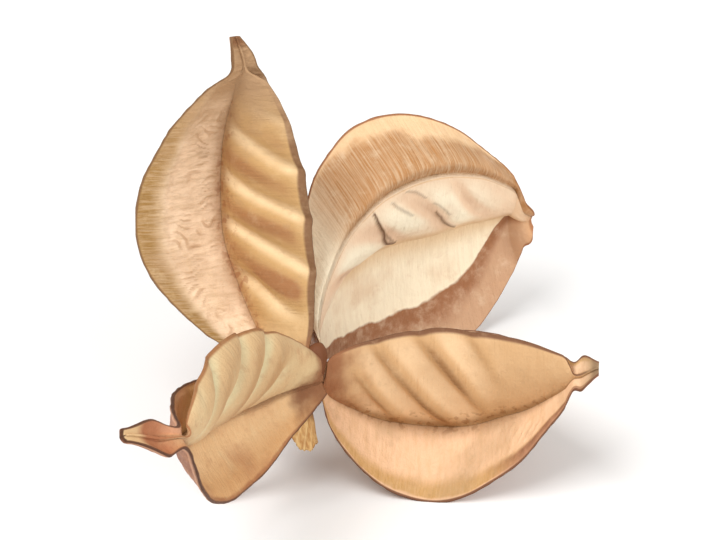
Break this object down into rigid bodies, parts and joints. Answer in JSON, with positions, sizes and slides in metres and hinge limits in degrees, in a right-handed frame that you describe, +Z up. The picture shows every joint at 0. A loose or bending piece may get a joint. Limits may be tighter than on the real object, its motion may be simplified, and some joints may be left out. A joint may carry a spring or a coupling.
{
  "type": "cotton boll",
  "caption": "Dried, opened cotton boll lying on its side: curled woody valves with partition ridges round a short column, with a calyx remnant and a bit of stalk.",
  "frame": {"origin": "on the surface that the boll lies on, under the middle of its bounding box", "axes": "+Z up from the surface; +X to the right and +Y away from the viewer of the picture; the longest extent runs along Y, from the front valve's tip to the back valve's tip"},
  "size_m": [0.0606, 0.0828, 0.0584],
  "materials": {
    "valve_upright": "matte",
    "valve_back": "matte",
    "valve_right": "matte",
    "valve_front": "matte",
    "calyx": "matte",
    "stem": "matte"
  },
  "bodies": {
    "root": {"valve_upright": "valve_upright", "valve_back": "valve_back", "valve_right": "valve_right", "valve_front": "valve_front", "calyx": "calyx", "stem": "stem"}
  },
  "joints": []
}
